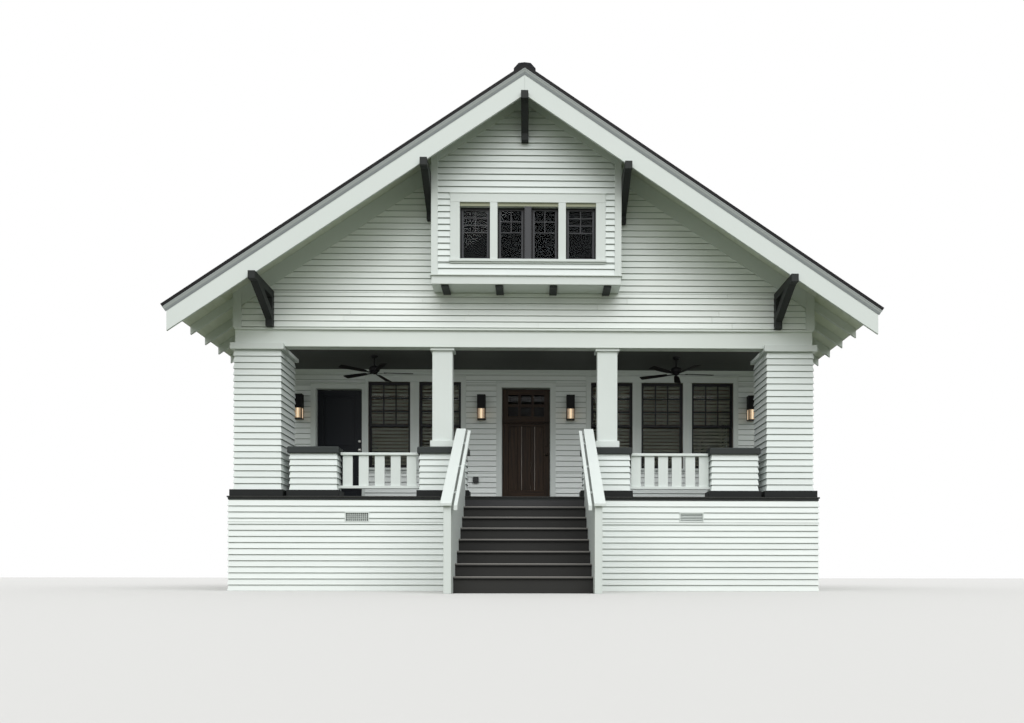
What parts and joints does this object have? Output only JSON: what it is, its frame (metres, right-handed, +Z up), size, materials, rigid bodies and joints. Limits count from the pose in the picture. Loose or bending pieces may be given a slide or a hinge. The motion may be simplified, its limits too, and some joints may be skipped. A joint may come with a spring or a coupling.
{
  "type": "bungalow",
  "caption": "White wooden bungalow with a front gable on knee brackets, a deep pillared porch, a gable bay and a dark front stair.",
  "frame": {"origin": "middle of the base of the whole model's box, at the level of the foot of the stair", "axes": "+Z up; the porch and stair face -Y; +X to the right seen from the street"},
  "size_m": [11.22, 15.568, 8.2078],
  "materials": {
    "white_paint": "satin",
    "charcoal_paint": "satin",
    "stair_paint": "satin",
    "floor_boards": "matt",
    "ceiling_paint": "satin",
    "shingle": "rough",
    "sash_paint": "satin",
    "glass": "polished",
    "stained_wood": "varnished",
    "door_paint": "satin",
    "black_metal": "satin"
  },
  "bodies": {
    "root": {"foundation_front": "white_paint", "foundation_sides": "white_paint", "foundation_rear": "white_paint", "main_floor": "floor_boards", "porch_floor": "stair_paint", "stair_treads": "stair_paint", "stair_frame": "stair_paint", "stair_walls": "white_paint", "stair_rails": "white_paint", "pillars": "white_paint", "pillar_caps": "white_paint", "piers": "white_paint", "pier_caps": "charcoal_paint", "plinths": "charcoal_paint", "porch_posts": "white_paint", "porch_railings": "white_paint", "porch_beam": "white_paint", "porch_ceiling": "ceiling_paint", "front_wall_left": "white_paint", "front_wall_middle": "white_paint", "front_wall_right": "white_paint", "front_wall_header": "white_paint", "side_walls": "white_paint", "rear_wall": "white_paint", "front_gable": "white_paint", "rear_gable": "white_paint", "gable_bay": "white_paint", "bay_corbels": "charcoal_paint", "upper_floor": "floor_boards", "roof_left": "shingle", "roof_right": "shingle", "ridge_cap": "shingle", "bargeboards": "white_paint", "rafter_tails": "white_paint", "gable_brackets": "charcoal_paint", "casings": "white_paint", "door_frames": "white_paint", "window_sashes": "sash_paint", "window_glass": "glass", "wall_lanterns": "black_metal", "fan_mounts": "black_metal"},
    "front_door": {"front_door": "stained_wood"},
    "porch_door": {"porch_door": "door_paint"},
    "fan_left": {"fan_left": "black_metal"},
    "fan_right": {"fan_right": "black_metal"}
  },
  "joints": [
    {"name": "front_door_hinge", "type": "hinge", "parent": "root", "child": "front_door", "pos_m": [-0.465, -3.023, 1.6], "axis": [0, 0, 1], "range_deg": [0, 100]},
    {"name": "porch_door_hinge", "type": "hinge", "parent": "root", "child": "porch_door", "pos_m": [-4.011, -3.023, 1.6], "axis": [0, 0, 1], "range_deg": [0, 100]},
    {"name": "fan_left_spin", "type": "hinge", "parent": "root", "child": "fan_left", "pos_m": [-2.71, -4.202, 3.89], "axis": [0, 0, 1], "continuous": true},
    {"name": "fan_right_spin", "type": "hinge", "parent": "root", "child": "fan_right", "pos_m": [2.71, -4.202, 3.89], "axis": [0, 0, 1], "continuous": true}
  ]
}
